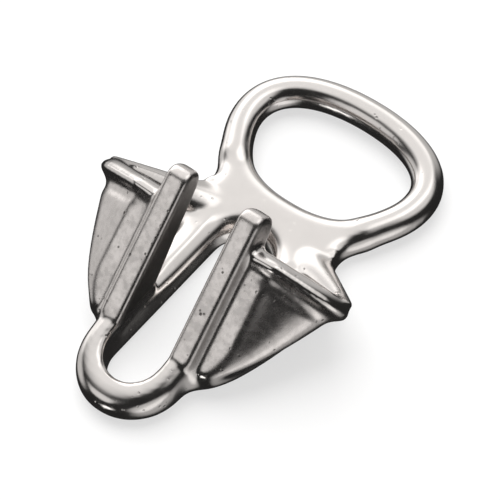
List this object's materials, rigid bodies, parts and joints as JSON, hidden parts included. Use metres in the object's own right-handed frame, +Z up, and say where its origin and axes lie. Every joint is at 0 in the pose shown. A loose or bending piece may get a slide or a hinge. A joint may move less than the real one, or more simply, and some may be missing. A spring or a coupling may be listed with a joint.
{
  "type": "chain gripper",
  "caption": "Cast steel claw for an anchor chain: rope eye, flat neck and a slotted fork with two bell-shaped pockets that hold a link.",
  "frame": {"origin": "in the plane of the flat back, below the middle of the outline", "axes": "+Z up out of the flat back, +Y from the nose of the fork to the rope eye, X across"},
  "size_m": [0.079, 0.117, 0.0386],
  "materials": {
    "polished_steel": "tumbled and polished cast stainless steel, near mirror",
    "satin_steel": "satin cast stainless steel with fine pits"
  },
  "bodies": {
    "root": {"eye_bow": "polished_steel", "neck_plate": "polished_steel", "nose_bend": "polished_steel", "left_floor": "polished_steel", "right_floor": "polished_steel", "left_rail": "satin_steel", "right_rail": "satin_steel", "left_hood": "satin_steel", "right_hood": "satin_steel", "left_shoulder": "polished_steel", "right_shoulder": "polished_steel"}
  },
  "joints": []
}
